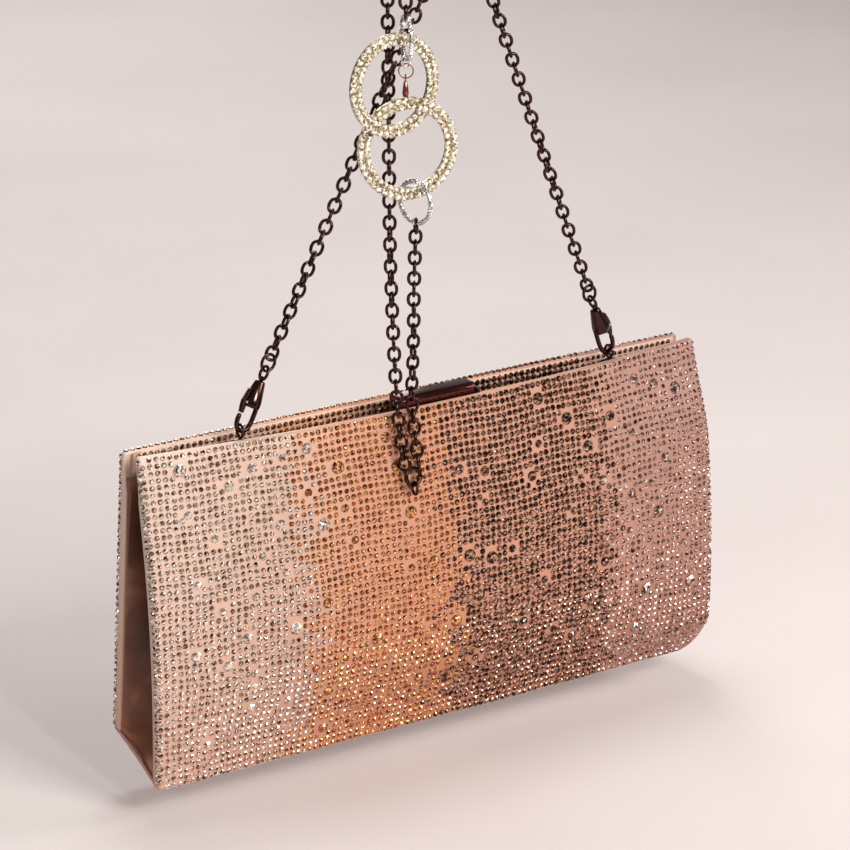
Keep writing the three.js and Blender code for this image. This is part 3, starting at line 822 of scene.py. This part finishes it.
def oval_link(centre, ahead, side, out):
    """One chain link: an oval of round wire in the plane of ahead and side."""
    turns = 2 * np.pi * np.arange(20) / 20
    along = np.sign(np.cos(turns)) * abs(np.cos(turns)) ** 0.85 * LINK_LONG
    across = np.sign(np.sin(turns)) * abs(np.sin(turns)) ** 0.9 * LINK_WIDE
    line = centre + np.outer(along, ahead) + np.outer(across, side)
    ring = 2 * np.pi * np.arange(8) / 8
    places = []
    for point in line:
        outward = (point - centre) / np.linalg.norm(point - centre)
        for turn in ring:
            places.append(point + CHAIN_WIRE / 2 * (math.cos(turn) * outward + math.sin(turn) * out))
    return places, [[a, d, c, b] for a, b, c, d in ring_faces(len(line), len(ring), closed=True)]


def chain(name, route, node_name, start_roll):
    """A stretch of cable chain: oval links, each turned a quarter from the last."""
    line, length = smooth_line(route, CHAIN_PITCH)
    ahead, _, _ = along_frames(line)
    side = np.cross(ahead, LINK_FACING)
    side /= np.linalg.norm(side, axis=1)[:, None]
    up = np.cross(ahead, side)
    parts = []
    for k, centre in enumerate(line):
        roll = start_roll + (k % 2) * math.pi / 2 + 0.2 * math.sin(k * 0.35)
        a = math.cos(roll) * side[k] + math.sin(roll) * up[k]
        b = np.cross(ahead[k], a)
        parts.append(oval_link(centre, ahead[k], a, b))
    places, faces = joined(parts)
    made = fitted(piece(name, places, faces, CHAIN, slot="chain"), "strap", node_name)
    fine, _ = smooth_line(route, 0.002)


# ---------------------------------------------------------------- hardware

def placed(parts, matrix):
    """Parts moved by a matrix."""
    places, faces = parts
    return [matrix @ Vector(p) for p in places], faces


def turned_profile(profile, sides, first=0.0):
    """A solid of revolution about Z from (radius, height) pairs, closed at both ends."""
    places = []
    for radius, height in profile:
        for k in range(sides):
            turn = first + 2 * math.pi * k / sides
            places.append((radius * math.cos(turn), radius * math.sin(turn), height))
    return places, ring_faces(len(profile), sides)


def prism(outline, axis_low, axis_high):
    """A solid with an outline in (x, z), from one depth to another along Y."""
    places = [(x, y, z) for y in (axis_low, axis_high) for x, z in outline]
    return places, [face[::-1] for face in ring_faces(2, len(outline))]


def hook_matrix(sign, lean):
    """From a hook's own axes, the strap along +Z and the gate on +X, to the bag's."""
    place = Matrix.Translation((sign * EYE.x, EYE.y, EYE.z))
    about = Matrix.Rotation(math.radians(lean), 4, "Y")
    turn = Matrix.Rotation(math.pi if sign < 0 else 0, 4, "Z")
    return place @ about @ turn


def metres(places):
    """Places given in millimetres, in metres."""
    return [tuple(c * 0.001 for c in place) for place in places]


def hook_body(side, matrix):
    """The wire hook and its tapered six-sided sleeve."""
    bend = [(-3.1, 0, 12), (-3.3, 0, 8), (-3.3, 0, 4), (-2.4, 0, 1.2), (0, 0, 0.05), (2.4, 0, 1.2),
            (3.3, 0, 3.8), (3.3, 0, 6.5)]
    line, _ = smooth_line(metres(bend), 0.0005)
    radii = np.full(len(line), 0.00098)
    radii[-3:] = [0.00095, 0.00085, 0.0006]
    wire = tube(line, radii, 14)
    profile = [(0.8, 10.0), (3.3, 10.0), (3.75, 10.5), (3.85, 11.4), (3.8, 13), (2.3, 20.4), (2.1, 21.1),
               (0.8, 21.3)]
    sleeve = turned_profile(metres(profile), 6, math.pi / 6)
    body = piece(f"hook_{side}", *placed(joined([wire, sleeve]), matrix), GUNMETAL, slot="gunmetal")
    bevelled(body, 0.0003, 2, 35)
    fitted(body, "strap", f"hook_body_{side}")


def gate_lever(side, matrix):
    """The lever that closes the hook, with six ribs for the thumb."""
    outline = [(2.5, 6.9), (3.9, 6.9), (4.4, 9), (4.7, 11), (4.75, 12.2)]
    for k in range(6):
        z = 12.6 + 0.75 * k
        x = 4.5 - 0.15 * k
        outline += [(x - 0.15, z), (x + 0.3, z + 0.15), (x + 0.28, z + 0.4), (x - 0.18, z + 0.55)]
    outline += [(3.3, 17.3), (2.5, 17), (2.6, 13.4), (2.5, 12)]
    lever = prism(metres(outline), -0.00095, 0.00095)
    gate = piece(f"gate_{side}", *placed(lever, matrix), GUNMETAL, smooth=False, slot="gunmetal")
    bevelled(gate, 0.00012, 2)
    fitted(gate, f"gate_{side}", f"gate_lever_{side}")


def snap_hook(side, sign, lean):
    """A snap hook with its swivel loop, and the end ring of the chain in it."""
    matrix = hook_matrix(sign, lean)
    hook_body(side, matrix)
    gate_lever(side, matrix)
    stem = turned_profile(metres([(0.6, 17.9), (0.6, 22.6), (0.9, 22.9), (0.6, 23.2)]), 12)
    loop = tube(circle((0, 0, 0.0246), 0.0026, (0, 0.9, 0), (0, 0, 1.1), 28), 0.00065, 10, True)
    swivel = piece(f"swivel_{side}", *placed(joined([stem, loop]), matrix), GUNMETAL, slot="gunmetal")
    fitted(swivel, "strap", f"swivel_loop_{side}")
    ring = tube(circle((0, 0, 0.029), 0.003, (1, 0, 0), (0, 0, 1.15), 28), 0.00065, 10, True)
    end = piece(f"chain_end_ring_{side}", *placed(ring, matrix), CHAIN, slot="gunmetal")
    return fitted(end, "strap", f"end_ring_{side}")


def eye(side, sign):
    """A wire eye on a flat leg."""
    x, y, z = sign * EYE.x, EYE.y, EYE.z
    low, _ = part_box(f"eye_{side}")
    loop = tube(circle((x, y, z), 0.0026, (0, 1, 0), (0, 0, 1), 28), 0.00055, 10, True)
    leg = tube([(x, y, low.z + 0.0001), (x, y, z - 0.0026)], 0.0008, 10)
    foot = z - 0.0034
    plate = prism([(x - 0.0035, foot - 0.0012), (x + 0.0035, foot - 0.0012),
                   (x + 0.0028, foot), (x - 0.0028, foot)], y - 0.0014, y + 0.0014)
    made = piece(f"strap_eye_{side}", *joined([loop, leg, plate]), GUNMETAL, slot="gunmetal")
    bevelled(made, 0.0002, 2, 40)
    fitted(made, "front_half", f"eye_{side}")


def clasp_bar():
    """The clasp's bar, with its chamfers and soft edges."""
    low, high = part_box("clasp_bar")
    section = [(0, 0), (0.39, 0), (0.39, 0.19), (1, 0.41), (1, 0.86), (0.9, 1), (0.17, 1), (0, 0.69)]
    depth, height = high.y - low.y, high.z - low.z
    outline = [(low.y + a * depth, low.z + b * height) for a, b in section]
    drawn_in = 0.1225
    ends = [(low.x, drawn_in), (low.x + 0.0012, 0), (high.x - 0.0012, 0), (high.x, drawn_in)]
    middle_y, middle_z = sum(y for y, _ in outline) / len(outline), low.z + 0.75 * height
    places = [(x, y + (middle_y - y) * draw, z + (middle_z - z) * draw)
              for x, draw in ends for y, z in outline]
    faces = ring_faces(len(ends), len(outline))
    bar = piece("clasp_front_bar", places, faces, BAR, smooth=False, slot="gunmetal")
    bar.data.flip_normals()
    bevelled(bar, 0.00035, 3, 20)
    fitted(bar, "clasp", "clasp_bar", "clasp_magnet_left", "clasp_magnet_right")


# ---------------------------------------------------------------- ornament

def axes_of_turn(degrees):
    """The wide axis and the outward axis of a ring that stands upright, turned about Z."""
    turn = math.radians(degrees)
    return np.array((math.cos(turn), math.sin(turn), 0)), np.array((math.sin(turn), -math.cos(turn), 0))


def middle_of(node_name):
    """The middle of a CAD node's box."""
    low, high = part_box(node_name)
    return np.array((low + high) / 2)


def spoke(angle, wide):
    """The direction at an angle around an upright ring."""
    return math.cos(angle) * wide + math.sin(angle) * UP


def ring_band(which, centre, wide, out):
    """A crystal ring's flat metal band, with a shallow groove along its face."""
    outer, inner, half = RING_OUTER, RING_INNER, RING_HALF
    section = [(inner, -half), (inner + 0.0004, -half - 0.0002), (outer - 0.0004, -half - 0.0002),
               (outer, -half), (outer, half), (outer - 0.0005, half + 0.0001),
               ((inner + outer) / 2, half - 0.0002), (inner + 0.0005, half + 0.0001), (inner, half)]
    steps = 72
    spokes = [spoke(2 * math.pi * k / steps, wide) for k in range(steps)]
    places = [centre + r * away + d * out for away in spokes for r, d in section]
    faces = ring_faces(steps, len(section), closed=True)
    ring = piece(f"ring_{which}", places, faces, GOLD, slot="crystal")
    ring.data.set_sharp_from_angle(angle=math.radians(40))
    return ring


def crystal_ring(which, turn, body):
    """A flat ring with two staggered rows of pale stones between small metal beads."""
    centre = middle_of(f"crystal_ring_{which}")
    wide, out = axes_of_turn(turn)
    fitted(ring_band(which, centre, wide, out), body, f"crystal_ring_{which}")
    face = centre + RING_HALF * out
    ball = [(BEAD_RADIUS * math.cos(t), BEAD_RADIUS * math.sin(t)) for t in np.linspace(0, np.pi / 2, 4)]
    dome = turned_profile([(max(r, 0.00002), z + 0.00028) for r, z in ball], 8)
    basis = Matrix((wide, UP, out)).transposed().to_4x4()
    centres, sizes, beads = [], [], []
    for radius, shift, size, offsets in RING_ROWS:
        for k in range(STONES_PER_ROW):
            angle = 2 * math.pi * (k + shift) / STONES_PER_ROW
            centres.append(face + radius * spoke(angle, wide) - 0.0001 * out)
            sizes.append(size)
            between = spoke(angle + math.pi / STONES_PER_ROW, wide)
            for offset in offsets:
                spot = Matrix.Translation(face + (radius + offset) * between)
                beads.append(placed(dome, spot @ basis))
    outs = np.tile(out, (len(centres), 1))
    stones(f"ring_stones_{which}", np.array(centres), outs, sizes, STONES["pale"], "crystal", body)
    prongs = piece(f"ring_beads_{which}", *joined(beads), GOLD, slot="crystal")
    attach(prongs, body)


def pave_ring(which, turn):
    """A thin round ring covered with small stones."""
    centre = middle_of(f"pave_ring_{which}")
    wide, out = axes_of_turn(turn)
    mean, wire = 0.0084, 0.0007
    hoop = tube(circle(centre, mean, wide, UP, 64), wire, 10, True)
    ring = piece(f"paved_ring_{which}", *hoop, SILVER, slot="silver")
    fitted(ring, "strap", f"pave_ring_{which}")
    centres, outs = [], []
    for lean, count in ((-70, 40), (-20, 42), (30, 42), (80, 40), (180, 32)):
        for k in range(count):
            ahead = spoke(2 * math.pi * (k + (lean % 3) / 3) / count, wide)
            away = math.cos(math.radians(lean)) * ahead + math.sin(math.radians(lean)) * out
            centres.append(centre + mean * ahead + (wire - 0.00002) * away)
            outs.append(away)
    radii = np.full(len(centres), 0.00052)
    stones(f"pave_stones_{which}", np.array(centres), np.array(outs), radii, STONES["white"], "silver",
           "strap", 6)
    return ring


def small_hoop(name, node_name, mean, wire, look, slot_name, turn, lean=0):
    """A wire ring in place of a CAD node, turned about Z and then leaning about X, in degrees."""
    (across, ahead, _), _ = axes_of_turn(turn)
    sine, cosine = math.sin(math.radians(lean)), math.cos(math.radians(lean))
    wide = np.array((across, ahead * cosine, ahead * sine))
    up = np.array((0.0, -sine, cosine))
    hoop = tube(circle(middle_of(node_name), mean, wide, up, 28), wire, 10, True)
    return fitted(piece(name, *hoop, look, slot=slot_name), "strap", node_name)


def charm():
    """The small clasp that hangs from the jump ring."""
    low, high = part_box("charm_clasp")
    turn = math.radians(55)
    centre = np.array(((low.x + high.x) / 2, (low.y + high.y) / 2, high.z - 0.0015))
    shank = turned_profile([(0.0003, -0.0011), (0.0007, -0.0016), (0.0012, -0.0046), (0.0013, -0.0064),
                            (0.0009, -0.0078), (0.0002, -0.0084)], 8)
    loop = tube(circle((0, 0, 0), 0.00118, (1, 0, 0), (0, 0, 1), 24), 0.00034, 8, True)
    matrix = Matrix.Translation(centre) @ Matrix.Rotation(turn, 4, "Z")
    parts = placed(joined([shank, loop]), matrix)
    made = piece("hanging_clasp", *parts, COPPER, smooth=False, slot="copper")
    bevelled(made, 0.00018, 2, 40)
    fitted(made, "strap", "charm_clasp")


def strap_and_ornament():
    """Both hooks, the ornament, the loop's end and the three stretches of chain."""
    left_ring = snap_hook("left", -1, 28)
    right_ring = snap_hook("right", 1, -21.5)
    upper = pave_ring("upper", 68)
    pave_ring("lower", -80)
    crystal_ring("upper", 0, "upper_ring")
    crystal_ring("lower", -15, "lower_ring")
    small_hoop("charm_loop", "charm_link", 0.0025, 0.0004, SILVER, "silver", 10)
    small_hoop("rose_jump_ring", "jump_ring", 0.00285, 0.00025, COPPER, "copper", -35)
    charm()
    end_ring = small_hoop("last_ring", "loop_end_ring", 0.0034, 0.0009, CHAIN, "gunmetal", 0, -13)
    end_link = small_hoop("last_link", "loop_end_link", 0.0026, 0.0006, CHAIN, "gunmetal", 80, -13)
    chain("chain_left", LEFT_ROUTE, "strap_left", 0.1)
    chain("chain_right", RIGHT_ROUTE, "strap_right", -0.1)
    chain("chain_loop", LOOP_ROUTE, "strap_loop", 1.4)


def carried_over():
    """Materials of the CAD nodes that are shown as they are."""
    looks = {
        "clasp_base": GUNMETAL, "clasp_pin": STEEL, "clasp_tongue": STEEL,
        "gate_pin_left": STEEL, "gate_pin_right": STEEL,
    }
    for name, look in looks.items():
        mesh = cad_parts[name].data
        mesh.materials.clear()
        mesh.materials.append(look)


# ---------------------------------------------------------------- studio

def studio():
    """A pale floor and soft lights."""
    reach, gap, count = 9.0, 0.012, 7
    steps = np.linspace(-reach, reach, count)
    places = [(x, y, FOOT - gap) for y in steps for x in steps]
    corners = [j * count + i for j in range(count - 1) for i in range(count - 1)]
    faces = [[a, a + 1, a + count + 1, a + count] for a in corners]
    piece("floor", places, faces, PAPER)
    world = bpy.data.worlds.new("studio")
    bpy.context.scene.world = world
    world.use_nodes = True
    background = world.node_tree.nodes["Background"]
    background.inputs["Color"].default_value = (1.0, 0.95, 0.93, 1)
    background.inputs["Strength"].default_value = 0.27
    light("key", (0.25, -1.35, 0.55), 0.6, 21, (1.0, 0.95, 0.9))
    light("side", (-1.2, -0.9, 0.6), 0.15, 1.5, (1.0, 0.95, 0.92))
    light("right", (1.2, -0.5, 0.3), 0.4, 7, (1.0, 0.93, 0.92))
    light("top", (0.1, 0.3, 0.95), 0.5, 7, (1.0, 0.97, 0.95))
    light("back", (0.5, 1.5, 0.5), 0.8, 8, (1.0, 0.96, 0.94))
    light("sparkle", (-0.3, -1.3, 0.3), 0.08, 4, (1.0, 0.98, 0.95))
    bpy.context.scene.view_settings.view_transform = "Standard"


def light(name, place, size, power, colour):
    """A square softbox that faces the bag."""
    lamp = bpy.data.lights.new(name, "AREA")
    lamp.size = size
    lamp.energy = power
    lamp.color = colour
    made = shown(name, lamp)
    made.location = place
    made.visible_camera = False
    aim = Vector((0, 0.016, FOOT + HEIGHT / 2)) - Vector(place)
    made.rotation_euler = aim.to_track_quat("-Z", "Y").to_euler()


def camera():
    """The camera: a long lens from the bag's front left, a little above it."""
    target = Vector((0.0033, 0.016, FOOT + 0.1226))
    azimuth, elevation, distance = math.radians(-35), math.radians(18.5), 1.646
    back = Vector((math.sin(azimuth) * math.cos(elevation), -math.cos(azimuth) * math.cos(elevation),
                   math.sin(elevation)))
    lens = bpy.data.cameras.new("camera")
    lens.lens = 170.2
    lens.sensor_width = 36
    lens.clip_end = 20
    made = shown("camera", lens)
    made.location = target + back * distance
    made.rotation_euler = (-back).to_track_quat("-Z", "Y").to_euler()
    bpy.context.scene.camera = made


walls()
eye("left", -1)
eye("right", 1)
clasp_bar()
strap_and_ornament()
carried_over()
studio()
camera()
